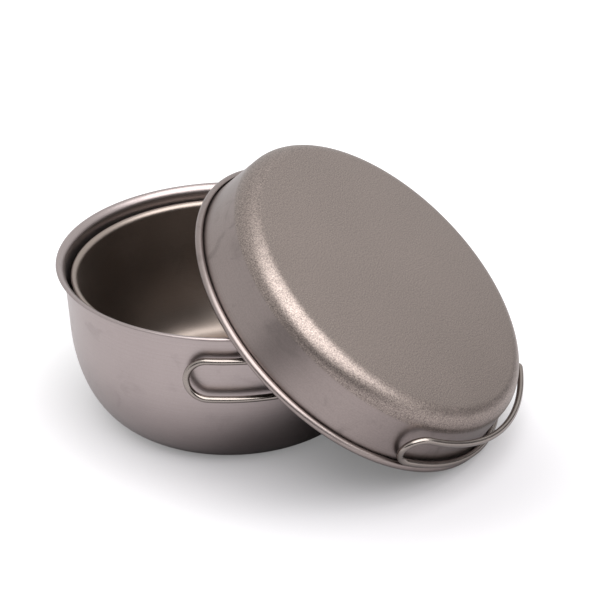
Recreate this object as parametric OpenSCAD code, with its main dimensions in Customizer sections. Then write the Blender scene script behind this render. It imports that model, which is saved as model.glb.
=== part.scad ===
// Nesting camp cook set: an outer pot with a smaller pot inside it, and a shallow
// frying pan turned over and leaned on the pots' rims. Pot and pan each carry two
// wire loops that fold round the wall on a welded hinge plate.
// The origin is the middle of the outer pot's base, on the table, and the pan leans towards +X.

/* [Sheet] */
// Thickness of the spun sheet
sheet_t = 0.5; // [0.4:0.05:0.8]
// Angle from upright at which a pot's flared lip ends and its rolled edge begins
pot_flare_turn = 70; // [50:1:80]
// Angle from upright at which a pot's rolled edge ends
pot_edge_turn = 175; // [120:5:180]
// Radius of a pot's rolled edge, to the middle of the sheet
pot_edge_r = 0.7; // [0.6:0.05:1]

/* [Outer pot] */
// Diameter over the lip
pot_rim_d = 160; // [160:1:200]
// Height from the table to the top of the lip
pot_h = 74.4; // [60:0.2:75]
// Width of the lip outside the wall
pot_lip_w = 3.6; // [2.5:0.1:5]
// Angle of the wall from upright
pot_draft = 2.3; // [0.5:0.1:4]
// Width of the curve between base and wall
pot_curve_w = 23.5; // [12:0.5:30]
// Height of the curve between base and wall, which ends at the hinge plate if that is lower
pot_curve_h = 46.5; // [30:0.1:50]

/* [Inner pot] */
// Space between the inner pot's lip and the outer pot's wall, at the height of the inner lip
inner_gap = 2.3; // [1.5:0.1:5]
// Depth of the inner pot's lip below the outer pot's
inner_drop = 6.4; // [4:0.1:14]
// Width of the lip outside the wall
inner_lip_w = 2.7; // [2:0.1:4]
// Width of the curve between base and wall
inner_curve_w = 22.5; // [12:0.5:28]
// Height of the curve between base and wall
inner_curve_h = 44; // [28:0.5:46]

/* [Frying pan] */
// Distance by which the pan's lip stands out past the outer pot's lip, so that it covers the pot
pan_over = 5.1; // [5:0.1:12]
// Height from the lip to the outside of the base
pan_h = 31.6; // [28:0.2:32]
// Width of the rolled lip outside the wall
pan_lip_w = 3; // [2.5:0.1:4]
// Radius of the rolled lip, to the middle of the sheet
pan_edge_r = 1.5; // [1:0.05:1.8]
// Angle from upright at which the rolled lip ends
pan_edge_turn = 300; // [200:5:300]
// Angle of the wall from upright
pan_draft = 7.7; // [2:0.1:9]
// Radius of the corner between base and wall
pan_corner_r = 8.5; // [5:0.5:12]
// Tilt of the pan where it leans on the pots
pan_lean = 38.4; // [38:0.1:44]

/* [Wire handles] */
// Diameter of the wire
wire_d = 3; // [2:0.1:3.6]
// Distance from the wall to the middle of the wire, at half the loop's width
wire_standoff = 3.4; // [3.3:0.1:6]
// Length of a loop from its hinge to its tip
handle_len = 116; // [80:1:120]
// Width of the pot's loops between wire centres
pot_handle_w = 18.8; // [14:0.2:22]
// Distance from the pot's lip to the middle of its loops
pot_handle_drop = 20.9; // [15:0.1:25]
// Direction of the pot's hinge plate round the pot, from +X
pot_handle_az = 6.4; // [-30:0.2:30]
// Width of the pan's loops between wire centres
pan_handle_w = 16.4; // [13:0.2:17]
// Space between the pan's rolled lip and the nearer wire of its loops
pan_handle_gap = 0.3; // [0.2:0.1:3]
// Direction of the pan's hinge plate round the pan, from the low side of the lip
pan_handle_az = 29; // [-40:0.5:40]
// Radius of the wire's bend at the hinge
bend_r = 3.5; // [2:0.1:4]

/* [Hinge plates] */
// Distance between the two hinge axes of a plate
hinge_spacing = 14; // [12:0.5:20]
// Thickness of the plate and of its knuckles
plate_t = 0.9; // [0.6:0.1:1]
// Space between the two wire ends that meet in a knuckle
pin_gap = 2; // [0.5:0.1:3]

/* [Clearances] */
// Space left where one loose vessel rests on another
rest_gap = 0.3; // [0.1:0.05:0.6]
// Space round a wire in its knuckle
pin_clearance = 0.05; // [0.02:0.01:0.1]
// Space between a knuckle's end and the wire's bend
end_gap = 0.3; // [0.1:0.05:0.6]
// Space between a welded plate and the wall
weld_gap = 0.07; // [0.05:0.01:0.1]

/* [Hidden] */
$fn = 96;
curve_steps = 14;
flare_step = 10;
edge_step = 15;
// A bend or tip is this much thicker than the straight wire, and reaches this far over its ends
join_step = 0.02;
join_overlap = 0.2;
pot_metal = [0.63, 0.60, 0.58];
pan_metal = [0.57, 0.54, 0.52];
wire_metal = [0.72, 0.70, 0.68];

// Height of the middle of the pot's loops
pot_handle_z = pot_h - pot_handle_drop;

// A vessel is [height, lip radius, lip width, draft, curve width, curve height, flare turn, edge radius,
// edge turn], and stands the right way up
pot_wall_z = min(pot_curve_h, pot_handle_z - plate_height(pot_handle_w) / 2);
outer_vessel = [
    pot_h, pot_rim_d / 2, pot_lip_w, pot_draft, pot_curve_w, pot_wall_z,
    pot_flare_turn, pot_edge_r, pot_edge_turn
];
inner_seat_z = sheet_t + rest_gap;
inner_top_z = pot_h - inner_drop;
inner_rim_r = wall_radius(outer_vessel, inner_top_z) - sheet_t - inner_gap;
inner_vessel = [
    inner_top_z - inner_seat_z, inner_rim_r, inner_lip_w, pot_draft, inner_curve_w, inner_curve_h,
    pot_flare_turn, pot_edge_r, pot_edge_turn
];
pan_rim_r = pot_rim_d / 2 + pan_over;
pan_vessel = [
    pan_h, pan_rim_r, pan_lip_w, pan_draft, pan_corner_r, pan_corner_r,
    90, pan_edge_r, pan_edge_turn
];

// Height of the middle of the pan's loops, which lie next to the rolled lip
pan_roll_d = 2 * pan_edge_r + sheet_t;
pan_handle_z = pan_h - pan_roll_d - pan_handle_gap - (wire_d + pan_handle_w) / 2;

// How far a vessel reaches in the direction that the pan's base faces when it leans
function reach(v) = max([
    for (side = [-1, 1])
    for (p = beside(vessel_line(v), side * sheet_t / 2))
    p[0] * sin(pan_lean) + p[1] * cos(pan_lean)
]);
pan_z = reach(pan_vessel) - pan_h * cos(pan_lean);
pan_x = (reach(outer_vessel) + rest_gap + sheet_t - pan_h - pan_z * cos(pan_lean)) / sin(pan_lean);

// Radius of the middle of the sheet where a lip flares out from the wall
function flare_radius(v) =
    let (half = sheet_t / 2, widest = min(v[8], 180))
    (v[2] + half - v[7] * cos(v[6]) + (v[7] + half) * cos(widest)) / (cos(v[3]) - cos(v[6]));

// Heights of the middles of the rolled edge's arc and of the flare's
function edge_height(v) = v[0] - v[7] - sheet_t / 2;
function flare_height(v) = edge_height(v) - (flare_radius(v) - v[7]) * sin(v[6]);

// Height at which the straight wall ends and the lip begins
function wall_top(v) = flare_height(v) + flare_radius(v) * sin(v[3]);

// Outside radius of the straight wall at a height
function wall_radius(v, z) = v[1] - v[2] - tan(v[3]) * (wall_top(v) - z);

// Middle line of a vessel's sheet, from the middle of the base to the edge of the lip
function vessel_line(v) =
    let (
        half = sheet_t / 2,
        flare_r = flare_radius(v),
        flare_x = v[1] - v[2] - half + flare_r * cos(v[3]),
        flare_z = flare_height(v),
        flare_steps = ceil((v[6] - v[3]) / flare_step),
        edge_x = flare_x - (flare_r - v[7]) * cos(v[6]),
        edge_z = edge_height(v),
        edge_steps = ceil((v[8] - v[6]) / edge_step),
        curve_a = v[4] - half,
        curve_b = v[5] - half,
        curve_end = -atan(curve_b / curve_a * tan(v[3])),
        curve_z = half + curve_b,
        curve_x = wall_radius(v, curve_z + curve_b * sin(curve_end)) - half - curve_a * cos(curve_end)
    )
    concat(
        [[0, half]],
        [
            for (i = [0 : curve_steps])
            let (t = -90 + (90 + curve_end) * i / curve_steps)
            [curve_x + curve_a * cos(t), curve_z + curve_b * sin(t)]
        ],
        [
            for (i = [0 : flare_steps])
            let (t = v[3] + (v[6] - v[3]) * i / flare_steps)
            [flare_x - flare_r * cos(t), flare_z + flare_r * sin(t)]
        ],
        [
            for (i = [1 : edge_steps])
            let (t = v[6] + (v[8] - v[6]) * i / edge_steps)
            [edge_x - v[7] * cos(t), edge_z + v[7] * sin(t)]
        ]
    );

function unit(vector) = vector / norm(vector);

// Direction of a vessel's line at one of its points: level along the base, whose edge is the second
// point, and from there halfway between the stretches before and after the point
function direction(line, i) =
    let (
        before = i > 0 ? unit(line[i] - line[i - 1]) : [0, 0],
        after = i < len(line) - 1 ? unit(line[i + 1] - line[i]) : [0, 0]
    )
    i < 2 ? [1, 0] : unit(before + after);

function beside(line, distance) = [
    for (i = [0 : len(line) - 1])
    let (along = direction(line, i))
    line[i] + distance * [along[1], -along[0]]
];

function reversed(list) = [for (i = [len(list) - 1 : -1 : 0]) list[i]];

// Angle round the vessel at which a loop's run begins, so that its bend ends on the hinge axis
function run_start(run_r) = asin(hinge_spacing / 2 / norm([run_r, bend_r])) + atan(bend_r / run_r);

// Height of a hinge plate, which fits between the bends of a loop
function plate_height(loop_w) = loop_w - 2 * bend_r - 2 * end_gap;

// Distance of a hinge axis from the vessel's axis, along the plate's middle direction
function hinge_x(run_r) = run_r * cos(run_start(run_r)) + bend_r * sin(run_start(run_r));

module spun_vessel(v) {
    line = vessel_line(v);
    rotate_extrude()
        polygon(concat(beside(line, sheet_t / 2), reversed(beside(line, -sheet_t / 2))));
}

// A run of wire round the axis
module wire_run(radius, from, angle) {
    rotate([0, 0, from])
        rotate_extrude(angle = angle)
            translate([radius, 0])
                circle(d = wire_d);
}

// A bend of wire in the plane of +Z and +Y, counted from +Z, which takes in the ends of its neighbours
module wire_bend(radius, from, angle) {
    overlap = join_overlap / radius * 180 / PI;
    rotate([0, -90, 0])
        rotate([0, 0, from - overlap])
            rotate_extrude(angle = angle + 2 * overlap)
                translate([radius, 0])
                    circle(r = wire_d / 2 + join_step);
}

// A loop of wire round a vessel's wall: two runs, a round tip, two bends and two hinge pins
module wire_loop(v, middle_z, width) {
    run_r = wall_radius(v, middle_z) + wire_standoff;
    tip_r = width / 2;
    start = run_start(run_r);
    sweep = (handle_len - bend_r - tip_r) / run_r * 180 / PI;
    pin_len = (width - 2 * bend_r - pin_gap) / 2;
    for (up = [-1, 1])
        translate([0, 0, middle_z + up * tip_r])
            wire_run(run_r, start, sweep);
    rotate([0, 0, start + sweep])
        translate([run_r, 0, middle_z])
            wire_bend(tip_r, 0, 180);
    rotate([0, 0, start])
        translate([run_r, 0, middle_z])
            for (up = [0, 1])
                mirror([0, 0, up]) {
                    translate([0, 0, tip_r - bend_r])
                        wire_bend(bend_r, -90, 90);
                    translate([0, -bend_r, tip_r - bend_r - pin_len])
                        cylinder(d = wire_d, h = pin_len);
                }
}

// The space inside a vessel's straight wall, let out by a margin
module wall_core(v, middle_z, height, margin) {
    bottom = middle_z - height / 2;
    translate([0, 0, bottom])
        cylinder(
            r1 = wall_radius(v, bottom) + margin,
            r2 = wall_radius(v, bottom + height) + margin,
            h = height
        );
}

// A plate that lies on a vessel's wall, folded out into a knuckle at each end
module hinge_plate(v, middle_z, width) {
    wall_r = wall_radius(v, middle_z);
    axis_x = hinge_x(wall_r + wire_standoff);
    axis_y = hinge_spacing / 2;
    bore_r = wire_d / 2 + pin_clearance;
    knuckle_r = bore_r + plate_t;
    height = plate_height(width);
    web_y = axis_y - knuckle_r;
    difference() {
        union() {
            intersection() {
                wall_core(v, middle_z, height, weld_gap + plate_t);
                translate([0, -web_y - plate_t, middle_z - height / 2])
                    cube([axis_x, 2 * (web_y + plate_t), height]);
            }
            for (side = [0, 1])
                mirror([0, side, 0])
                    translate([0, 0, middle_z - height / 2]) {
                        translate([axis_x, axis_y, 0])
                            cylinder(r = knuckle_r, h = height);
                        translate([wall_r - plate_t, web_y, 0])
                            cube([axis_x - wall_r + plate_t, plate_t, height]);
                    }
        }
        wall_core(v, middle_z, 2 * height, weld_gap);
        for (side = [-1, 1])
            translate([axis_x, side * axis_y, middle_z - height])
                cylinder(r = bore_r, h = 2 * height);
    }
}

module at_pot_hinge(side) {
    rotate([0, 0, pot_handle_az])
        mirror([0, side, 0])
            children();
}

// Turns what is modelled the right way up over into the leaning pan's place
module leaning() {
    translate([pan_x, 0, pan_z])
        rotate([0, pan_lean, 0])
            translate([0, 0, pan_h])
                rotate([180, 0, 0])
                    children();
}

module at_pan_hinge(side) {
    leaning()
        rotate([0, 0, -pan_handle_az])
            mirror([0, side, 0])
                children();
}

module outer_pot() {
    color(pot_metal)
        spun_vessel(outer_vessel);
}

module pot_hinge_plate() {
    color(wire_metal)
        at_pot_hinge(0)
            hinge_plate(outer_vessel, pot_handle_z, pot_handle_w);
}

module pot_handle_front() {
    color(wire_metal)
        at_pot_hinge(1)
            wire_loop(outer_vessel, pot_handle_z, pot_handle_w);
}

module pot_handle_rear() {
    color(wire_metal)
        at_pot_hinge(0)
            wire_loop(outer_vessel, pot_handle_z, pot_handle_w);
}

module inner_pot() {
    color(pot_metal)
        translate([0, 0, inner_seat_z])
            spun_vessel(inner_vessel);
}

module frying_pan() {
    color(pan_metal)
        leaning()
            spun_vessel(pan_vessel);
}

module pan_hinge_plate() {
    color(wire_metal)
        at_pan_hinge(0)
            hinge_plate(pan_vessel, pan_handle_z, pan_handle_w);
}

module pan_handle_front() {
    color(wire_metal)
        at_pan_hinge(0)
            wire_loop(pan_vessel, pan_handle_z, pan_handle_w);
}

module pan_handle_rear() {
    color(wire_metal)
        at_pan_hinge(1)
            wire_loop(pan_vessel, pan_handle_z, pan_handle_w);
}

outer_pot();
pot_hinge_plate();
pot_handle_front();
pot_handle_rear();
inner_pot();
frying_pan();
pan_hinge_plate();
pan_handle_front();
pan_handle_rear();
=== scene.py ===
"""A cooking pot set: two nested spun pots and a frying pan that leans on them, with folding wire handles."""

import logging
import math
from abc import ABC, abstractmethod
from dataclasses import dataclass
from enum import Enum
from typing import Any, Callable, Iterator, Mapping, Sequence, Union

import bmesh
import bpy
from mathutils import Matrix, Vector


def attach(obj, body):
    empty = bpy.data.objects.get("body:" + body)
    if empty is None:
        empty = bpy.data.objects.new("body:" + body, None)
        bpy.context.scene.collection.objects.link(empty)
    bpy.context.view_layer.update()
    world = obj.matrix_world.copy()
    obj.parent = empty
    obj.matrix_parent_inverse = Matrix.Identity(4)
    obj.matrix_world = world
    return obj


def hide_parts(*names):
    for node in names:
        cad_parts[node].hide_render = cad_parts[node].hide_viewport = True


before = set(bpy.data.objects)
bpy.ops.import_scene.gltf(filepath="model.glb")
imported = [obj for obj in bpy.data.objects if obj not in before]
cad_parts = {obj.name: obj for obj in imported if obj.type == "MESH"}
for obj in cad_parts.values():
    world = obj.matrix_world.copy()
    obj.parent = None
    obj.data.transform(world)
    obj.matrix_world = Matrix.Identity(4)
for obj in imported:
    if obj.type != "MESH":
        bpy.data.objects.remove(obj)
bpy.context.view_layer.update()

LOG = logging.getLogger("pot_set")
MM = 0.001

# The thickness that the three vessels share.
SHEET = 0.5 * MM

# The distance between the two pins of a hinge plate.
HINGE_SPACING = 14.0 * MM

# Edges that turn more than this are cut edges, and get rounded.
SHARP = math.radians(60.0)

# Corners of a mesh that lie closer than this are one corner.
MERGE = 0.001 * MM

ORIGIN = Vector((0.0, 0.0, 0.0))

# The colours of the hinge plates, of the heat tint about their welds, and of the wire.
PLATE_COLOUR = (0.40, 0.37, 0.345)
HEAT_COLOUR = (0.30, 0.20, 0.11)
WIRE_COLOUR = (0.27, 0.236, 0.216)

# The places of the colour sockets on a node that mixes two colours.
MIX_FIRST, MIX_SECOND, MIX_RESULT = 6, 7, 2

Colour = tuple[float, float, float]
Point = tuple[float, float, float]
Number = Union["Value", float]


class Axis(Enum):
    """The directions that bends turn about."""

    X = Vector((1.0, 0.0, 0.0))
    Z = Vector((0.0, 0.0, 1.0))


class Side(Enum):
    """Which way round its vessel a loop of wire runs from its hinge."""

    ONWARD = 1.0
    BACK = -1.0


class Value:
    """A number that varies over a surface. Operators on it add Math nodes to its graph."""

    def __init__(self, graph: "Graph", socket: bpy.types.NodeSocket) -> None:
        """Wraps one output socket of a graph."""
        self.graph = graph
        self.socket = socket

    def __add__(self, other: Number) -> "Value":
        """Gives the sum."""
        return self.graph.math("ADD", self, other)

    def __radd__(self, other: Number) -> "Value":
        """Gives the sum, with the number first."""
        return self.graph.math("ADD", other, self)

    def __sub__(self, other: Number) -> "Value":
        """Gives the difference."""
        return self.graph.math("SUBTRACT", self, other)

    def __rsub__(self, other: Number) -> "Value":
        """Gives the difference, with the number first."""
        return self.graph.math("SUBTRACT", other, self)

    def __mul__(self, other: Number) -> "Value":
        """Gives the product."""
        return self.graph.math("MULTIPLY", self, other)

    def __rmul__(self, other: Number) -> "Value":
        """Gives the product, with the number first."""
        return self.graph.math("MULTIPLY", other, self)

    def __pow__(self, other: Number) -> "Value":
        """Gives the power."""
        return self.graph.math("POWER", self, other)

    def angle_from(self, other: "Value") -> "Value":
        """Gives the angle whose sine and cosine are in proportion to this value and the other."""
        return self.graph.math("ARCTAN2", self, other)

    def rise(self, low: float, high: float) -> "Value":
        """Gives a smooth step.

        Args:
            low: Where the step leaves 0.
            high: Where it reaches 1.

        Returns:
            A value from 0 to 1.
        """
        node = self.graph.add(
            "ShaderNodeMapRange",
            {"interpolation_type": "SMOOTHSTEP", "clamp": True},
            {"Value": self, "From Min": low, "From Max": high},
        )
        return Value(self.graph, node.outputs["Result"])


class Graph:
    """The nodes of one material or world."""

    def __init__(self, tree: bpy.types.NodeTree) -> None:
        """Starts from an emptied node tree."""
        self.tree = tree
        tree.nodes.clear()

    def add(
        self,
        kind: str,
        settings: Mapping[str, Any] | None = None,
        inputs: Mapping[str | int, Any] | None = None,
    ) -> bpy.types.Node:
        """Adds a node.

        Args:
            kind: The node's type.
            settings: The node's own properties, which are set first.
            inputs: Values or links for its sockets, by name or place.

        Returns:
            The new node.
        """
        node = self.tree.nodes.new(kind)
        for name, setting in (settings or {}).items():
            setattr(node, name, setting)
        for name, given in (inputs or {}).items():
            socket = node.inputs[name]
            source = given.socket if isinstance(given, Value) else given
            if isinstance(source, bpy.types.NodeSocket):
                self.tree.links.new(source, socket)
            else:
                socket.default_value = source
        return node

    def math(self, operation: str, first: Number, second: Number) -> Value:
        """Adds a Math node.

        Args:
            operation: What it does.
            first: Its first number.
            second: Its second number.

        Returns:
            The result.
        """
        node = self.add("ShaderNodeMath", {"operation": operation}, {0: first, 1: second})
        return Value(self, node.outputs[0])

    def vector(self, operation: str, inputs: Mapping[str | int, Any]) -> bpy.types.NodeSocket:
        """Adds a Vector Math node.

        Args:
            operation: What it does.
            inputs: Values or links for its sockets.

        Returns:
            The result.
        """
        return self.add("ShaderNodeVectorMath", {"operation": operation}, inputs).outputs[0]

    def mix(self, factor: Number, first: Any, second: Any) -> bpy.types.NodeSocket:
        """Mixes two colours.

        Args:
            factor: The share of the second one.
            first: A colour or a socket.
            second: A colour or a socket.

        Returns:
            The mixed colour.
        """
        colours = {
            place: (*colour, 1.0) if isinstance(colour, tuple) else colour
            for place, colour in ((MIX_FIRST, first), (MIX_SECOND, second))
        }
        node = self.add("ShaderNodeMix", {"data_type": "RGBA"}, {0: factor, **colours})
        return node.outputs[MIX_RESULT]

    def scaled(self, colour: Any, tone: Number) -> bpy.types.NodeSocket:
        """Gives a colour made lighter or darker by a tone."""
        return self.vector("SCALE", {0: colour, "Scale": tone})

    def joined(self, x: Number, y: Number, z: Number) -> bpy.types.NodeSocket:
        """Gives a vector of three numbers."""
        return self.add("ShaderNodeCombineXYZ", None, {0: x, 1: y, 2: z}).outputs[0]

    def noise(
        self, vector: bpy.types.NodeSocket, scale: float, detail: float, twist: float = 0.0
    ) -> Value:
        """Adds soft noise.

        Args:
            vector: Where it is read.
            scale: Lumps to the metre.
            detail: How many finer layers it has.
            twist: How far it is distorted.

        Returns:
            A value about 0.5.
        """
        node = self.add(
            "ShaderNodeTexNoise",
            None,
            {"Vector": vector, "Scale": scale, "Detail": detail, "Distortion": twist},
        )
        return Value(self, node.outputs[0])

    def bands(self, along: Value, scale: float, detail: float) -> Value:
        """Adds noise that changes in one direction only.

        Args:
            along: The distance in that direction.
            scale: Bands to the metre.
            detail: How many finer layers it has.

        Returns:
            A value about 0.5.
        """
        node = self.add(
            "ShaderNodeTexNoise",
            {"noise_dimensions": "1D"},
            {"W": along, "Scale": scale, "Detail": detail},
        )
        return Value(self, node.outputs[0])

    def bump(self, height: Value, depth: float) -> bpy.types.NodeSocket:
        """Adds a bump.

        Args:
            height: The height, from 0 to 1.
            depth: The height of 1, in metres.

        Returns:
            The bent normal.
        """
        node = self.add("ShaderNodeBump", None, {"Strength": 1.0, "Distance": depth, "Height": height})
        return node.outputs[0]

    def distance(self, first: Any, second: Any) -> Value:
        """Gives the distance between two points."""
        node = self.add("ShaderNodeVectorMath", {"operation": "DISTANCE"}, {0: first, 1: second})
        return Value(self, node.outputs["Value"])

    def seen_by(self, *kinds: str) -> Value:
        """Gives 1 to some kinds of ray and 0 to the others.

        Args:
            kinds: The kinds of ray, such as Camera.

        Returns:
            A value of 0 or 1.
        """
        path = self.add("ShaderNodeLightPath")
        seen, *others = (Value(self, path.outputs[f"Is {kind} Ray"]) for kind in kinds)
        for other in others:
            seen = self.math("MAXIMUM", seen, other)
        return seen


class Upright:
    """Coordinates on a piece as if its vessel stood the right way up with its base on the origin."""

    def __init__(self, graph: Graph, placement: Matrix) -> None:
        """Reads Object coordinates and undoes a placement.

        Args:
            graph: The material's nodes.
            placement: What puts the upright vessel where it is.
        """
        back = placement.inverted()
        coordinates = graph.add("ShaderNodeTexCoord").outputs["Object"]
        mapping = graph.add(
            "ShaderNodeMapping",
            {"vector_type": "POINT"},
            {
                "Vector": coordinates,
                "Location": back.to_translation(),
                "Rotation": back.to_euler("XYZ"),
            },
        )
        self.vector = mapping.outputs[0]
        split = graph.add("ShaderNodeSeparateXYZ", None, {0: self.vector})
        self.x, self.y, self.z = (Value(graph, socket) for socket in split.outputs)
        self.radius = (self.x * self.x + self.y * self.y) ** 0.5
        self.angle = self.y.angle_from(self.x)
        self.along = self.radius + self.z


class Finish(ABC):
    """The look of one kind of surface."""

    @abstractmethod
    def paint(self, graph: Graph) -> bpy.types.NodeSocket:
        """Adds the nodes and gives the finished shader."""

    def material(self, name: str) -> bpy.types.Material:
        """Makes the material.

        Args:
            name: What it is called.

        Returns:
            The new material.
        """
        material = bpy.data.materials.new(name)
        material.use_nodes = True
        graph = Graph(material.node_tree)
        graph.add("ShaderNodeOutputMaterial", None, {"Surface": self.paint(graph)})
        return material


def metal(
    graph: Graph, colour: Any, roughness: Number, normal: bpy.types.NodeSocket
) -> bpy.types.NodeSocket:
    """Adds a bare metal shader.

    Args:
        graph: The material's nodes.
        colour: Its colour.
        roughness: Its roughness.
        normal: Its bent normal.

    Returns:
        The shader.
    """
    node = graph.add(
        "ShaderNodeBsdfPrincipled",
        None,
        {"Base Color": colour, "Metallic": 1.0, "Roughness": roughness, "Normal": normal},
    )
    return node.outputs[0]


@dataclass(frozen=True)
class SpunSheet(Finish):
    """Satin sheet that was spun on a lathe: rings, a fine grain, cloudy tones and faint smudges."""

    placement: Matrix
    colour: Colour
    roughness: float
    ring_scale: float = 1700.0
    grain_scale: float = 1300.0
    cloud_scale: float = 24.0
    smudge_scale: float = 70.0
    bump_depth: float = 0.012 * MM

    def paint(self, graph: Graph) -> bpy.types.NodeSocket:
        """Adds the nodes and gives the finished shader."""
        at = Upright(graph, self.placement)
        rings = graph.bands(at.along, self.ring_scale, 3.0)
        grain = graph.noise(at.vector, self.grain_scale, 2.0)
        clouds = graph.noise(at.vector, self.cloud_scale, 3.0)
        smudges = graph.noise(at.vector, self.smudge_scale, 4.0, 0.8).rise(0.56, 0.72)
        tone = 0.74 + 0.16 * rings + 0.12 * grain + 0.26 * clouds - 0.08 * smudges
        colour = graph.scaled(self.colour, tone)
        roughness = self.roughness + 0.10 * (clouds - 0.5) + 0.06 * (rings - 0.5) + 0.04 * smudges
        normal = graph.bump(0.6 * rings + 0.7 * grain, self.bump_depth)
        return metal(graph, colour, roughness, normal)


@dataclass(frozen=True)
class BlastedPan(Finish):
    """A pan whose base and corner are blasted to an even grain, and whose wall and lip are left satin."""

    placement: Matrix
    base_colour: Colour
    wall_colour: Colour
    base_roughness: float
    wall_roughness: float
    blast_edge: float
    edge_blur: float = 0.6 * MM
    edge_waver: float = 0.8 * MM
    grain_scale: float = 1500.0
    speck_scale: float = 2500.0
    ring_scale: float = 1500.0
    cloud_scale: float = 22.0
    smudge_scale: float = 75.0
    bump_depth: float = 0.010 * MM

    def paint(self, graph: Graph) -> bpy.types.NodeSocket:
        """Adds the nodes and gives the finished shader."""
        at = Upright(graph, self.placement)
        grain = graph.noise(at.vector, self.grain_scale, 2.0).rise(0.30, 0.70)
        specks = graph.noise(at.vector, self.speck_scale, 1.0).rise(0.30, 0.70)
        rings = graph.bands(at.along, self.ring_scale, 3.0)
        clouds = graph.noise(at.vector, self.cloud_scale, 3.0)
        smudges = graph.noise(at.vector, self.smudge_scale, 4.0, 0.8).rise(0.54, 0.70)
        height = at.z + self.edge_waver * (clouds - 0.5)
        wall = height.rise(self.blast_edge - self.edge_blur, self.blast_edge + self.edge_blur)
        blasted_tone = 0.43 + 0.40 * grain + 0.64 * specks + 0.10 * clouds
        satin_tone = 0.73 + 0.16 * rings + 0.10 * grain + 0.34 * clouds - 0.17 * smudges
        blasted = graph.scaled(self.base_colour, blasted_tone)
        satin = graph.scaled(self.wall_colour, satin_tone)
        colour = graph.mix(wall, blasted, satin)
        step = self.wall_roughness - self.base_roughness
        roughness = self.base_roughness + step * wall + 0.10 * (clouds - 0.5) + 0.05 * smudges * wall
        relief = (grain + 0.5 * specks) * (1.0 - 0.7 * wall) + 0.4 * rings * wall
        return metal(graph, colour, roughness, graph.bump(relief, self.bump_depth))


@dataclass(frozen=True)
class DrawnWire(Finish):
    """Polished wire with the fine lines that drawing leaves along it, and dull rubs."""

    placement: Matrix
    colour: Colour
    roughness: float
    run_radius: float
    line_scale: float = 2600.0
    line_stretch: float = 0.03
    rub_scale: float = 110.0
    bump_depth: float = 0.003 * MM

    def paint(self, graph: Graph) -> bpy.types.NodeSocket:
        """Adds the nodes and gives the finished shader."""
        at = Upright(graph, self.placement)
        along = at.angle * self.run_radius
        stretched = graph.joined(at.radius, self.line_stretch * along, at.z)
        lines = graph.noise(stretched, self.line_scale, 2.0)
        rubs = graph.noise(at.vector, self.rub_scale, 3.0, 0.5)
        tone = 0.78 + 0.22 * lines + 0.22 * rubs
        colour = graph.scaled(self.colour, tone)
        roughness = self.roughness + 0.08 * (lines - 0.5) + 0.07 * rubs.rise(0.4, 0.7)
        return metal(graph, colour, roughness, graph.bump(lines, self.bump_depth))


@dataclass(frozen=True)
class FoldedPlate(Finish):
    """Rolled plate with a lengthwise grain, and rings of heat colour about its spot welds."""

    placement: Matrix
    colour: Colour
    heat_colour: Colour
    roughness: float
    welds: tuple[Point, ...]
    weld_radius: float
    line_scale: float = 2400.0
    line_stretch: float = 0.06
    cloud_scale: float = 160.0
    heat_spread: float = 2.2
    heat_share: float = 0.8
    bump_depth: float = 0.01 * MM

    def paint(self, graph: Graph) -> bpy.types.NodeSocket:
        """Adds the nodes and gives the finished shader."""
        at = Upright(graph, self.placement)
        stretched = graph.vector("MULTIPLY", {0: at.vector, 1: (1.0, self.line_stretch, 1.0)})
        lines = graph.noise(stretched, self.line_scale, 2.0)
        clouds = graph.noise(at.vector, self.cloud_scale, 3.0)
        heat: Number = 0.0
        heat_end = self.heat_spread * self.weld_radius
        for weld in self.welds:
            near = 1.0 - graph.distance(at.vector, weld).rise(self.weld_radius, heat_end)
            heat = near + heat
        tone = 0.80 + 0.24 * lines + 0.16 * clouds
        plain = graph.scaled(self.colour, tone)
        colour = graph.mix(heat * self.heat_share, plain, self.heat_colour)
        roughness = self.roughness + 0.12 * (lines - 0.5) + 0.08 * clouds
        return metal(graph, colour, roughness, graph.bump(lines, self.bump_depth))


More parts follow.
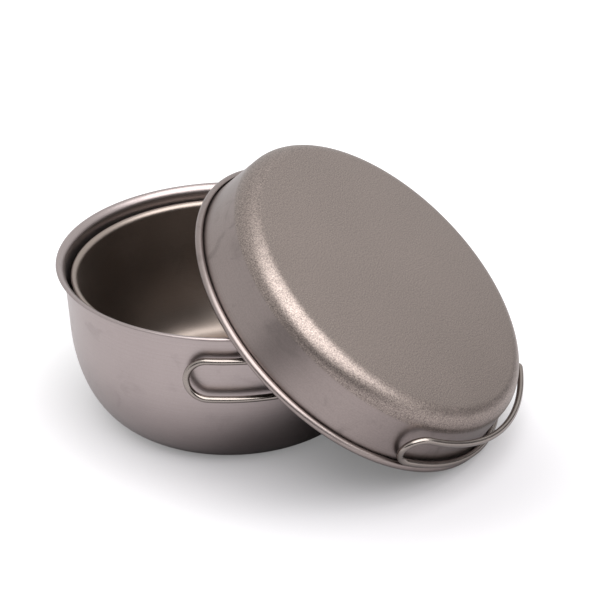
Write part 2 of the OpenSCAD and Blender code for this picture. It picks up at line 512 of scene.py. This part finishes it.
@dataclass(frozen=True)
class TableTop(Finish):
    """A matt white table that keeps the object's shadow.

    The camera and the metal see it lightened by added light, and less so near the object, so that a painted
    shade lies about the object beside its own shadow.
    About the pot's foot the metal sees it darkened: a painted shade in the pot's reflection, in place of the
    shade under its curved bottom.

    Attributes:
        colour: The colour of the matt surface.
        middle: The point that the lightening is measured from.
        squeeze: How much each direction counts in that distance.
        near: The distance at which the lightening starts to grow.
        far: The distance at which the camera sees all of it.
        near_lift: The light added for the camera near the object.
        far_lift: The light added for the camera far from it.
        metal_far: The distance at which the metal sees all of its own lightening.
        metal_lift: The light added for the metal far from the object.
        foot: The middle of the painted shade.
        foot_near: The radius of its darkest part.
        foot_far: The radius at which it ends.
        foot_shade: How much darker its darkest part is.
        edge_near: The distance at which the table's border starts to lighten further.
        edge_far: The distance at which it stops.
        edge_lift: The light added there for the camera.
    """

    colour: Colour
    middle: Point
    squeeze: Point
    near: float
    far: float
    near_lift: float
    far_lift: float
    metal_far: float
    metal_lift: float
    foot: Point
    foot_near: float
    foot_far: float
    foot_shade: float
    edge_near: float = 0.6
    edge_far: float = 1.4
    edge_lift: float = 0.3

    def paint(self, graph: Graph) -> bpy.types.NodeSocket:
        """Adds the nodes and gives the finished shader."""
        by_camera = graph.seen_by("Camera")
        by_metal = graph.seen_by("Glossy", "Transmission")
        place = graph.add("ShaderNodeTexCoord").outputs["Object"]
        squeezed = graph.vector("MULTIPLY", {0: place, 1: self.squeeze})
        middle = tuple(share * part for share, part in zip(self.squeeze, self.middle))
        distance = graph.distance(squeezed, middle)
        spread = distance.rise(self.near, self.far)
        edge = self.edge_lift * distance.rise(self.edge_near, self.edge_far)
        # Painted shade: the added light fades near the object, for the camera and, through mirrored, in the
        # metal's reflections, so a grey patch lies about the object beside its real shadow.
        lift = self.near_lift + (self.far_lift - self.near_lift) * spread + edge
        mirrored = self.metal_lift * distance.rise(self.near, self.metal_far)
        shine = graph.add("ShaderNodeEmission", None, {"Strength": by_camera * lift + by_metal * mirrored})
        # Painted shade: about the pot's foot the table turns darker for the metal only, standing in for the
        # shade under the pot's curved bottom in its reflection.
        foot_painted_shade = 1.0 - graph.distance(place, self.foot).rise(self.foot_near, self.foot_far)
        colour = graph.scaled(self.colour, 1.0 - self.foot_shade * by_metal * foot_painted_shade)
        matt = graph.add("ShaderNodeBsdfDiffuse", None, {"Color": colour})
        both = graph.add("ShaderNodeAddShader", None, {0: matt.outputs[0], 1: shine.outputs[0]})
        return both.outputs[0]


def finished(
    bm: bmesh.types.BMesh,
    name: str,
    placement: Matrix,
    material: bpy.types.Material,
    mirrored: bool = False,
) -> bpy.types.Object:
    """Puts a mesh in its place and makes it a smooth-shaded object at the origin.

    Args:
        bm: The mesh, which is freed.
        name: The piece's name.
        placement: What puts the mesh where it belongs.
        material: Its finish.
        mirrored: Whether the placement mirrors the mesh, so that its faces are turned round.

    Returns:
        The new object.
    """
    bmesh.ops.transform(bm, matrix=placement, verts=bm.verts)
    if mirrored:
        bmesh.ops.reverse_faces(bm, faces=bm.faces)
    for face in bm.faces:
        face.smooth = True
    mesh = bpy.data.meshes.new(name)
    bm.to_mesh(mesh)
    bm.free()
    mesh.materials.append(material)
    piece = bpy.data.objects.new(name, mesh)
    bpy.context.scene.collection.objects.link(piece)
    return piece


def place_in_set(piece: bpy.types.Object, body: str, node: str, slot: str) -> None:
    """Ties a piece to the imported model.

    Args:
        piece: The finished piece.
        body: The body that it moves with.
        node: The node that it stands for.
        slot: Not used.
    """
    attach(piece, body)
    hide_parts(node)
    LOG.info("%s: %d faces, rides on %s", piece.name, len(piece.data.polygons), body)


def edges_of(geometry: Sequence[Any]) -> list[bmesh.types.BMEdge]:
    """Gives the edges among some geometry."""
    return [item for item in geometry if isinstance(item, bmesh.types.BMEdge)]


def verts_of(geometry: Sequence[Any]) -> list[bmesh.types.BMVert]:
    """Gives the vertices among some geometry."""
    return [item for item in geometry if isinstance(item, bmesh.types.BMVert)]


def round_off(bm: bmesh.types.BMesh, edges: Sequence[bmesh.types.BMEdge], radius: float) -> None:
    """Rounds the sharp ones among some edges.

    Args:
        bm: The mesh.
        edges: The edges to look at.
        radius: How far from the edge the rounding starts.
    """
    sharp = [edge for edge in edges if edge.is_manifold and edge.calc_face_angle() > SHARP]
    bmesh.ops.bevel(
        bm,
        geom=sharp,
        offset=radius,
        offset_type="OFFSET",
        segments=2,
        profile=0.5,
        affect="EDGES",
        material=-1,
    )


def thicken(
    bm: bmesh.types.BMesh,
    thickness: float,
    rounding: float,
    rank: Callable[[bmesh.types.BMFace], float],
    facing: Vector,
) -> None:
    """Gives a sheet its thickness, on the side that its faces turn away from, and rounds its cut edges.

    Args:
        bm: The sheet.
        thickness: How thick it becomes.
        rounding: How far from a cut edge the rounding starts.
        rank: What is lowest on the face that tells which way round the sheet is.
        facing: The direction that this face has to face.
    """
    bmesh.ops.recalc_face_normals(bm, faces=bm.faces)
    if min(bm.faces, key=rank).normal.dot(facing) < 0.0:
        bmesh.ops.reverse_faces(bm, faces=bm.faces)
    bmesh.ops.solidify(bm, geom=bm.faces[:], thickness=thickness)
    bmesh.ops.recalc_face_normals(bm, faces=bm.faces)
    round_off(bm, bm.edges, rounding)


class Sweep:
    """Draws a cross-section along straight stretches and bends."""

    def __init__(self, bm: bmesh.types.BMesh, start: Sequence[bmesh.types.BMEdge]) -> None:
        """Starts from the edges of the first cross-section."""
        self.bm = bm
        self.edges = list(start)

    def straight(self, step: Vector) -> None:
        """Draws the section straight along a step."""
        result = bmesh.ops.extrude_edge_only(self.bm, edges=self.edges)
        self.edges = edges_of(result["geom"])
        bmesh.ops.translate(self.bm, vec=step, verts=verts_of(result["geom"]))

    def bend(self, centre: Vector, axis: Vector, angle: float, steps: int) -> None:
        """Draws the section round a bend.

        Args:
            centre: A point on the bend's axis.
            axis: The axis's direction.
            angle: How far round it goes.
            steps: How many stretches it has.
        """
        ends = {vert for edge in self.edges for vert in edge.verts}
        result = bmesh.ops.spin(
            self.bm,
            geom=[*ends, *self.edges],
            cent=centre,
            axis=axis,
            dvec=ORIGIN,
            angle=angle,
            steps=steps,
            use_merge=False,
            use_duplicate=False,
        )
        self.edges = edges_of(result["geom_last"])


@dataclass
class SpunVessel:
    """A vessel spun from one sheet: a base, a curve, a straight wall and a flared lip with a rolled edge."""

    name: str
    height: float
    rim_radius: float
    lip_width: float
    draft: float
    curve_width: float
    curve_height: float
    flare_turn: float
    edge_radius: float
    edge_turn: float
    placement: Matrix
    spin_steps: int = 256
    base_steps: int = 4
    curve_steps: int = 30
    wall_steps: int = 8
    flare_step: float = math.radians(5.0)
    edge_step: float = math.radians(10.0)
    rounding: float = 0.12 * MM

    @property
    def flare_radius(self) -> float:
        """The radius of the middle of the sheet where the lip flares out from the wall."""
        half = SHEET / 2.0
        flare = math.cos(self.flare_turn)
        widest = math.cos(min(self.edge_turn, math.pi))
        width = self.lip_width + half - self.edge_radius * flare + (self.edge_radius + half) * widest
        return width / (math.cos(self.draft) - flare)

    @property
    def edge_height(self) -> float:
        """The height of the middle of the rolled edge's arc."""
        return self.height - self.edge_radius - SHEET / 2.0

    @property
    def flare_height(self) -> float:
        """The height of the middle of the flare's arc."""
        return self.edge_height - (self.flare_radius - self.edge_radius) * math.sin(self.flare_turn)

    @property
    def wall_top(self) -> float:
        """The height at which the straight wall ends and the lip begins."""
        return self.flare_height + self.flare_radius * math.sin(self.draft)

    def wall_radius(self, height: float) -> float:
        """Gives the outside radius of the straight wall at a height."""
        return self.rim_radius - self.lip_width - math.tan(self.draft) * (self.wall_top - height)

    def outline(self) -> Iterator[tuple[float, float]]:
        """Gives the outside of the sheet from the base to the end of the lip, as radii and heights."""
        half = SHEET / 2.0
        end = -math.atan(self.curve_height / self.curve_width * math.tan(self.draft))
        wall_foot = self.curve_height * (1.0 + math.sin(end))
        curve_x = self.wall_radius(wall_foot) - self.curve_width * math.cos(end)
        for i in range(1, self.base_steps + 1):
            yield curve_x * i / self.base_steps, 0.0
        for i in range(1, self.curve_steps + 1):
            turn = -math.pi / 2.0 + (math.pi / 2.0 + end) * i / self.curve_steps
            radius = curve_x + self.curve_width * math.cos(turn)
            yield radius, self.curve_height * (1.0 + math.sin(turn))
        for i in range(1, self.wall_steps):
            height = wall_foot + (self.wall_top - wall_foot) * i / self.wall_steps
            yield self.wall_radius(height), height
        flare = self.flare_radius - half
        flare_x = self.rim_radius - self.lip_width - half + self.flare_radius * math.cos(self.draft)
        flare_steps = math.ceil((self.flare_turn - self.draft) / self.flare_step)
        for i in range(flare_steps + 1):
            turn = self.draft + (self.flare_turn - self.draft) * i / flare_steps
            yield flare_x - flare * math.cos(turn), self.flare_height + flare * math.sin(turn)
        edge = self.edge_radius - half
        edge_x = flare_x - (self.flare_radius - self.edge_radius) * math.cos(self.flare_turn)
        edge_steps = math.ceil((self.edge_turn - self.flare_turn) / self.edge_step)
        for i in range(1, edge_steps + 1):
            turn = self.flare_turn + (self.edge_turn - self.flare_turn) * i / edge_steps
            yield edge_x - edge * math.cos(turn), self.edge_height + edge * math.sin(turn)

    def draw(self, bm: bmesh.types.BMesh) -> None:
        """Draws the outline as a line of edges, from the middle of the base.

        Args:
            bm: An empty mesh.
        """
        bmesh.ops.create_vert(bm, co=ORIGIN)
        bm.verts.ensure_lookup_table()
        last = bm.verts[0]
        for radius, height in self.outline():
            last = bmesh.ops.extrude_vert_indiv(bm, verts=[last])["verts"][0]
            last.co = (radius, 0.0, height)

    def build(self, material: bpy.types.Material) -> bpy.types.Object:
        """Spins the outline, gives it the sheet's thickness and rounds the edge of the lip.

        Args:
            material: The vessel's finish.

        Returns:
            The finished piece.
        """
        bm = bmesh.new()
        self.draw(bm)
        bmesh.ops.spin(
            bm,
            geom=[*bm.verts, *bm.edges],
            cent=ORIGIN,
            axis=Axis.Z.value,
            dvec=ORIGIN,
            angle=2.0 * math.pi,
            steps=self.spin_steps,
            use_merge=True,
        )
        bmesh.ops.remove_doubles(bm, verts=bm.verts, dist=MERGE)
        thicken(bm, SHEET, self.rounding, lambda face: face.calc_center_median().z, -Axis.Z.value)
        return finished(bm, self.name, self.placement, material)


@dataclass
class WireLoop:
    """A loop of wire round a vessel's wall: a pin, a bend, a run, a round tip, and the same back again."""

    name: str
    run_radius: float
    middle: float
    width: float
    side: Side
    placement: Matrix
    wire: float = 3.0 * MM
    length: float = 116.0 * MM
    bend_radius: float = 3.5 * MM
    pin_gap: float = 2.0 * MM
    sides: int = 24
    bend_steps: int = 12
    run_steps: int = 72
    tip_steps: int = 36
    rounding: float = 0.25 * MM

    @property
    def start(self) -> float:
        """The angle round the vessel at which the run begins."""
        reach = math.hypot(self.run_radius, self.bend_radius)
        return math.asin(HINGE_SPACING / 2.0 / reach) + math.atan(self.bend_radius / self.run_radius)

    @property
    def hinge_x(self) -> float:
        """The distance of the pins' axis from the vessel's axis, along the hinge's middle direction."""
        return self.run_radius * math.cos(self.start) + self.bend_radius * math.sin(self.start)

    @property
    def sweep(self) -> float:
        """The angle of the run."""
        return (self.length - self.bend_radius - self.width / 2.0) / self.run_radius

    def build(self, material: bpy.types.Material) -> bpy.types.Object:
        """Draws the wire from the end of one pin to the end of the other.

        Args:
            material: The wire's finish.

        Returns:
            The finished piece.
        """
        tip = self.width / 2.0
        bend = self.bend_radius
        pin = tip - bend - self.pin_gap / 2.0
        run_from = Matrix.Rotation(self.start, 3, "Z")
        run_to = Matrix.Rotation(self.start + self.sweep, 3, "Z")
        out = Vector((self.run_radius, 0.0, self.middle))
        foot = run_from @ Vector((self.run_radius, -bend, self.middle + tip - bend - pin))
        bm = bmesh.new()
        bmesh.ops.create_circle(
            bm,
            cap_ends=False,
            segments=self.sides,
            radius=self.wire / 2.0,
            matrix=Matrix.Translation(foot),
        )
        path = Sweep(bm, bm.edges[:])
        rise = Vector((0.0, 0.0, tip - bend))
        path.straight(Vector((0.0, 0.0, pin)))
        path.bend(run_from @ out + rise, run_from @ Axis.X.value, -math.pi / 2.0, self.bend_steps)
        path.bend(ORIGIN, Axis.Z.value, self.sweep, self.run_steps)
        path.bend(run_to @ out, run_to @ Axis.X.value, -math.pi, self.tip_steps)
        path.bend(ORIGIN, Axis.Z.value, -self.sweep, self.run_steps)
        path.bend(run_from @ out - rise, run_from @ Axis.X.value, -math.pi / 2.0, self.bend_steps)
        path.straight(Vector((0.0, 0.0, pin)))
        bmesh.ops.remove_doubles(bm, verts=bm.verts, dist=MERGE)
        bmesh.ops.holes_fill(bm, edges=[edge for edge in bm.edges if edge.is_boundary], sides=0)
        bmesh.ops.recalc_face_normals(bm, faces=bm.faces)
        round_off(bm, bm.edges, self.rounding)
        mirror = Matrix.Diagonal((1.0, self.side.value, 1.0, 1.0))
        return finished(bm, self.name, self.placement @ mirror, material, self.side is Side.BACK)


@dataclass
class HingePlate:
    """A plate welded flat on a vessel's wall, with each end folded out and curled into a knuckle."""

    name: str
    wall_radius: float
    wall_slope: float
    hinge_x: float
    middle: float
    height: float
    placement: Matrix
    thickness: float = 0.9 * MM
    bore_radius: float = 1.55 * MM
    fold_radius: float = 1.2 * MM
    weld_gap: float = 0.07 * MM
    weld_radius: float = 1.1 * MM
    weld_rise: float = 0.12 * MM
    weld_taper: float = 0.75
    weld_across: float = 2.1 * MM
    weld_share: float = 0.23
    weld_sides: int = 24
    curl: float = math.radians(300.0)
    face_steps: int = 8
    fold_steps: int = 10
    curl_steps: int = 40
    seam: float = 0.01 * MM
    rounding: float = 0.15 * MM

    @property
    def face_radius(self) -> float:
        """The radius of the side of the plate that lies on the wall."""
        return self.wall_radius + self.weld_gap

    @property
    def welds(self) -> tuple[Point, ...]:
        """The places of the spot welds, on the outside of the plate."""
        out = self.face_radius + self.thickness
        up = self.weld_share * self.height
        places = []
        for across in (-self.weld_across, self.weld_across):
            for rise in (-up, up):
                x = math.sqrt(out * out - across * across) + rise * math.tan(self.wall_slope)
                places.append((x, across, self.middle + rise))
        return tuple(places)

    def fold(self, bm: bmesh.types.BMesh) -> None:
        """Folds half of the plate as a sheet without thickness, from its middle to the end of a knuckle.

        Args:
            bm: An empty mesh.
        """
        web_y = HINGE_SPACING / 2.0 - self.bore_radius
        corner_y = web_y - self.fold_radius
        corner_reach = self.face_radius + self.fold_radius
        corner_x = math.sqrt(corner_reach**2 - corner_y**2)
        lean = math.asin(corner_y / corner_reach)
        bmesh.ops.create_vert(bm, co=(self.face_radius, 0.0, self.middle - self.height / 2.0))
        grown = bmesh.ops.extrude_vert_indiv(bm, verts=bm.verts[:])
        bmesh.ops.translate(bm, vec=(0.0, 0.0, self.height), verts=grown["verts"])
        path = Sweep(bm, bm.edges[:])
        path.bend(ORIGIN, Axis.Z.value, lean, self.face_steps)
        corner = Vector((corner_x, corner_y, 0.0))
        path.bend(corner, Axis.Z.value, -math.pi / 2.0 - lean, self.fold_steps)
        path.straight(Vector((self.hinge_x - corner_x, 0.0, 0.0)))
        pin = Vector((self.hinge_x, web_y + self.bore_radius, 0.0))
        path.bend(pin, Axis.Z.value, self.curl, self.curl_steps)
        for vert in bm.verts:
            share = max(0.0, min(1.0, (self.hinge_x - vert.co.x) / (self.hinge_x - corner_x)))
            if vert.co.y < web_y + self.weld_gap:
                vert.co.x += share * (vert.co.z - self.middle) * math.tan(self.wall_slope)

    def build(self, material: bpy.types.Material) -> bpy.types.Object:
        """Mirrors the folded half, thickens it, rounds its edges and adds the weld spots.

        Args:
            material: The plate's finish.

        Returns:
            The finished piece.
        """
        bm = bmesh.new()
        self.fold(bm)
        bmesh.ops.remove_doubles(bm, verts=bm.verts, dist=MERGE)
        bmesh.ops.mirror(
            bm,
            geom=[*bm.verts, *bm.edges, *bm.faces],
            matrix=Matrix.Identity(4),
            merge_dist=self.seam,
            axis="Y",
        )
        thicken(
            bm,
            self.thickness,
            self.rounding,
            lambda face: abs(face.calc_center_median().y),
            -Axis.X.value,
        )
        for place in self.welds:
            out = Vector((place[0], place[1], 0.0)).to_track_quat("Z", "Y").to_matrix().to_4x4()
            bmesh.ops.create_cone(
                bm,
                cap_ends=True,
                segments=self.weld_sides,
                radius1=self.weld_radius,
                radius2=self.weld_taper * self.weld_radius,
                depth=2.0 * self.weld_rise,
                matrix=Matrix.Translation(place) @ out,
            )
        return finished(bm, self.name, self.placement, material)


@dataclass
class HandledVessel:
    """A spun vessel with a hinge plate on its wall and a loop of wire on each side of the plate."""

    prefix: str
    body: str
    sheet_node: str
    sheet_slot: str
    vessel: SpunVessel
    hinge_turn: float
    handle_middle: float
    handle_width: float
    front_side: Side
    standoff: float = 3.4 * MM
    end_gap: float = 0.3 * MM

    @property
    def hinge_placement(self) -> Matrix:
        """What puts a hinge that is modelled on +X where it is on the vessel."""
        return self.vessel.placement @ Matrix.Rotation(self.hinge_turn, 4, "Z")

    def loop(self, place: str, side: Side) -> WireLoop:
        """Gives one of the vessel's two loops of wire.

        Args:
            place: Whether it is the front one or the rear one.
            side: Which way round it runs.

        Returns:
            The loop, not built yet.
        """
        return WireLoop(
            name=f"{self.prefix}_loop_{place}",
            run_radius=self.vessel.wall_radius(self.handle_middle) + self.standoff,
            middle=self.handle_middle,
            width=self.handle_width,
            side=side,
            placement=self.hinge_placement,
        )

    def plate(self) -> HingePlate:
        """Gives the vessel's hinge plate, not built yet."""
        loop = self.loop("front", self.front_side)
        return HingePlate(
            name=f"{self.prefix}_strap",
            wall_radius=self.vessel.wall_radius(self.handle_middle),
            wall_slope=self.vessel.draft,
            hinge_x=loop.hinge_x,
            middle=self.handle_middle,
            height=self.handle_width - 2.0 * loop.bend_radius - 2.0 * self.end_gap,
            placement=self.hinge_placement,
        )

    def build(self, sheet: Finish) -> None:
        """Builds and dresses the vessel, its plate and its loops.

        Args:
            sheet: The vessel's finish.
        """
        shell = self.vessel.build(sheet.material(f"{self.prefix}_sheet"))
        place_in_set(shell, self.body, self.sheet_node, self.sheet_slot)
        plate = self.plate()
        plate_finish = FoldedPlate(
            placement=self.hinge_placement,
            colour=PLATE_COLOUR,
            heat_colour=HEAT_COLOUR,
            roughness=0.34,
            welds=plate.welds,
            weld_radius=plate.weld_radius,
        )
        strap = plate.build(plate_finish.material(f"{self.prefix}_plate"))
        place_in_set(strap, self.body, f"{self.prefix}_hinge_plate", "hinge_plate")
        rear_side = Side(-self.front_side.value)
        for place, side in (("front", self.front_side), ("rear", rear_side)):
            loop = self.loop(place, side)
            wire = DrawnWire(
                placement=self.hinge_placement,
                colour=WIRE_COLOUR,
                roughness=0.18,
                run_radius=loop.run_radius,
            )
            piece = loop.build(wire.material(f"{self.prefix}_wire_{place}"))
            node = f"{self.prefix}_handle_{place}"
            place_in_set(piece, node, node, "wire")


@dataclass
class NestedPot:
    """The pot without handles that sits inside the other one."""

    vessel: SpunVessel

    def build(self, sheet: Finish) -> None:
        """Builds and dresses the pot.

        Args:
            sheet: Its finish.
        """
        shell = self.vessel.build(sheet.material("inner_sheet"))
        place_in_set(shell, "inner_pot", "inner_pot", "inner_sheet")


@dataclass(frozen=True)
class Panel:
    """A flat panel that faces the object, placed as the camera sees it."""

    name: str
    right: float
    ahead: float
    up: float
    width: float
    height: float


@dataclass(frozen=True)
class Card(Panel, Finish):
    """A matt card that stands low on the table, where only the metal's reflections show it."""

    colour: Colour = (0.02, 0.02, 0.02)

    def paint(self, graph: Graph) -> bpy.types.NodeSocket:
        """Adds the nodes and gives the finished shader."""
        return graph.add("ShaderNodeBsdfDiffuse", None, {"Color": (*self.colour, 1.0)}).outputs[0]


@dataclass(frozen=True)
class SoftBox(Panel):
    """A large soft lamp."""

    watts: float


@dataclass
class Studio:
    """A white table, matt cards, a soft lamp and the camera."""

    camera_place: Point = (0.2463, -0.6119, 0.40695)
    camera_pitch: float = math.pi / 2.0 - 0.497
    camera_turn: float = 0.334
    lens: float = 96.0
    sensor: float = 36.0
    table_size: float = 4.0
    table_drop: float = 0.05 * MM
    world_level: float = 0.08
    aim: Point = (0.04, 0.0, 0.05)
    lamps: tuple[SoftBox, ...] = (
        SoftBox(name="front_box", right=0.36, ahead=-0.58, up=1.2, width=2.1, height=1.55, watts=35.0),
    )
    cards: tuple[Card, ...] = (
        Card(name="front_card", right=-0.02, ahead=-0.48, up=0.11, width=0.9, height=0.22),
        Card(
            name="side_card",
            right=0.62,
            ahead=0.1,
            up=0.12,
            width=0.6,
            height=0.24,
            colour=(0.45, 0.44, 0.44),
        ),
    )

    def table(self) -> None:
        """Lays the table."""
        bm = bmesh.new()
        bmesh.ops.create_grid(
            bm,
            x_segments=4,
            y_segments=4,
            size=self.table_size / 2.0,
            matrix=Matrix.Translation((0.0, 0.0, -self.table_drop)),
        )
        finish = TableTop(
            colour=(0.54, 0.527, 0.545),
            # Painted shade: the added light fades towards middle, so the table and its reflections are
            # darker about the object.
            middle=(0.06, -0.028, 0.0),
            squeeze=(0.82, 1.25, 1.0),
            near=0.05,
            far=0.16,
            near_lift=0.18,
            far_lift=0.80,
            metal_far=0.165,
            metal_lift=0.66,
            # Painted shade that only the metal sees, about the pot's foot.
            foot=(0.045, 0.0, 0.0),
            foot_near=0.055,
            foot_far=0.112,
            foot_shade=0.68,
        )
        table = finished(bm, "table_top", Matrix.Identity(4), finish.material("white_table"))

    def facing(self, panel: Panel) -> Matrix:
        """Gives the placement of a panel, with its back along its own +Z."""
        place = Matrix.Rotation(self.camera_turn, 3, "Z") @ Vector((panel.right, panel.ahead, panel.up))
        aim = Vector(self.aim) - place
        return Matrix.Translation(place) @ aim.to_track_quat("-Z", "Y").to_matrix().to_4x4()

    def shade(self) -> None:
        """Stands the cards, which only reflections show."""
        for card in self.cards:
            bm = bmesh.new()
            size = Matrix.Diagonal((card.width, card.height, 1.0, 1.0))
            bmesh.ops.create_grid(bm, x_segments=2, y_segments=2, size=0.5, matrix=size)
            piece = finished(bm, card.name, self.facing(card), card.material(card.name))
            piece.visible_camera = False
            piece.visible_diffuse = False
            piece.visible_shadow = False

    def light(self) -> None:
        """Hangs the lamp and sets the level of the room's light."""
        for box in self.lamps:
            lamp = bpy.data.lights.new(box.name, "AREA")
            lamp.shape = "RECTANGLE"
            lamp.size = box.width
            lamp.size_y = box.height
            lamp.energy = box.watts
            holder = bpy.data.objects.new(box.name, lamp)
            holder.matrix_world = self.facing(box)
            bpy.context.scene.collection.objects.link(holder)
        world = bpy.data.worlds.new("white_room")
        world.use_nodes = True
        graph = Graph(world.node_tree)
        seen = graph.seen_by("Camera", "Glossy", "Transmission")
        level = self.world_level + (1.0 - self.world_level) * seen
        white = (1.0, 1.0, 1.0, 1.0)
        background = graph.add("ShaderNodeBackground", None, {"Color": white, "Strength": level})
        graph.add("ShaderNodeOutputWorld", None, {"Surface": background.outputs[0]})
        bpy.context.scene.world = world

    def photograph(self) -> None:
        """Sets up the camera and the plain view."""
        camera = bpy.data.cameras.new("camera")
        camera.lens = self.lens
        camera.sensor_width = self.sensor
        holder = bpy.data.objects.new("camera", camera)
        holder.location = self.camera_place
        holder.rotation_euler = (self.camera_pitch, 0.0, self.camera_turn)
        bpy.context.scene.collection.objects.link(holder)
        bpy.context.scene.camera = holder
        bpy.context.scene.view_settings.view_transform = "Standard"

    def build(self) -> None:
        """Sets up everything around the object."""
        self.table()
        self.shade()
        self.light()
        self.photograph()


def leaning_placement(lean: float, height: float, centre: Vector) -> Matrix:
    """Gives what turns an upright pan over and leans it.

    Args:
        lean: How far it leans.
        height: The pan's height.
        centre: The middle of its lip.

    Returns:
        The placement.
    """
    return (
        Matrix.Translation(centre)
        @ Matrix.Rotation(lean, 4, "Y")
        @ Matrix.Translation((0.0, 0.0, height))
        @ Matrix.Rotation(math.pi, 4, "X")
    )


def build_pots() -> None:
    """Builds the outer pot, with its handles, and the inner pot."""
    form = {
        "draft": math.radians(2.3),
        "flare_turn": math.radians(70.0),
        "edge_radius": 0.7 * MM,
        "edge_turn": math.radians(175.0),
    }
    upright = Matrix.Identity(4)
    outer = HandledVessel(
        prefix="pot",
        body="pot",
        sheet_node="outer_pot",
        sheet_slot="pot_sheet",
        vessel=SpunVessel(
            name="pot_shell",
            height=74.4 * MM,
            rim_radius=80.0 * MM,
            lip_width=3.6 * MM,
            curve_width=23.5 * MM,
            curve_height=46.5 * MM,
            placement=upright,
            **form,
        ),
        hinge_turn=math.radians(6.4),
        handle_middle=53.5 * MM,
        handle_width=18.8 * MM,
        front_side=Side.BACK,
    )
    seated = Matrix.Translation((0.0, 0.0, 0.8 * MM))
    inner = NestedPot(
        vessel=SpunVessel(
            name="inner_shell",
            height=67.2 * MM,
            rim_radius=73.501 * MM,
            lip_width=2.7 * MM,
            curve_width=22.5 * MM,
            curve_height=44.0 * MM,
            placement=seated,
            **form,
        )
    )
    outer.build(SpunSheet(placement=upright, colour=(0.345, 0.296, 0.289), roughness=0.34))
    inner.build(SpunSheet(placement=seated, colour=(0.305, 0.255, 0.226), roughness=0.36))


def build_pan() -> None:
    """Builds the leaning frying pan, with its handles."""
    height = 31.6 * MM
    leaning = leaning_placement(math.radians(38.4), height, Vector((57.884, 0.0, 52.140)) * MM)
    pan = HandledVessel(
        prefix="pan",
        body="pan",
        sheet_node="frying_pan",
        sheet_slot="pan_sheet",
        vessel=SpunVessel(
            name="pan_shell",
            height=height,
            rim_radius=85.1 * MM,
            lip_width=3.0 * MM,
            draft=math.radians(7.7),
            curve_width=8.5 * MM,
            curve_height=8.5 * MM,
            flare_turn=math.radians(90.0),
            edge_radius=1.5 * MM,
            edge_turn=math.radians(300.0),
            placement=leaning,
        ),
        hinge_turn=math.radians(-29.0),
        handle_middle=18.1 * MM,
        handle_width=16.4 * MM,
        front_side=Side.ONWARD,
    )
    pan.build(
        BlastedPan(
            placement=leaning,
            base_colour=(0.25, 0.209, 0.19),
            wall_colour=(0.262, 0.221, 0.21),
            base_roughness=0.41,
            wall_roughness=0.34,
            blast_edge=8.8 * MM,
        )
    )


def main() -> None:
    """Builds the set and the studio."""
    logging.basicConfig(level=logging.INFO, format="%(name)s %(message)s")
    build_pots()
    build_pan()
    Studio().build()


if __name__ == "__main__":
    main()
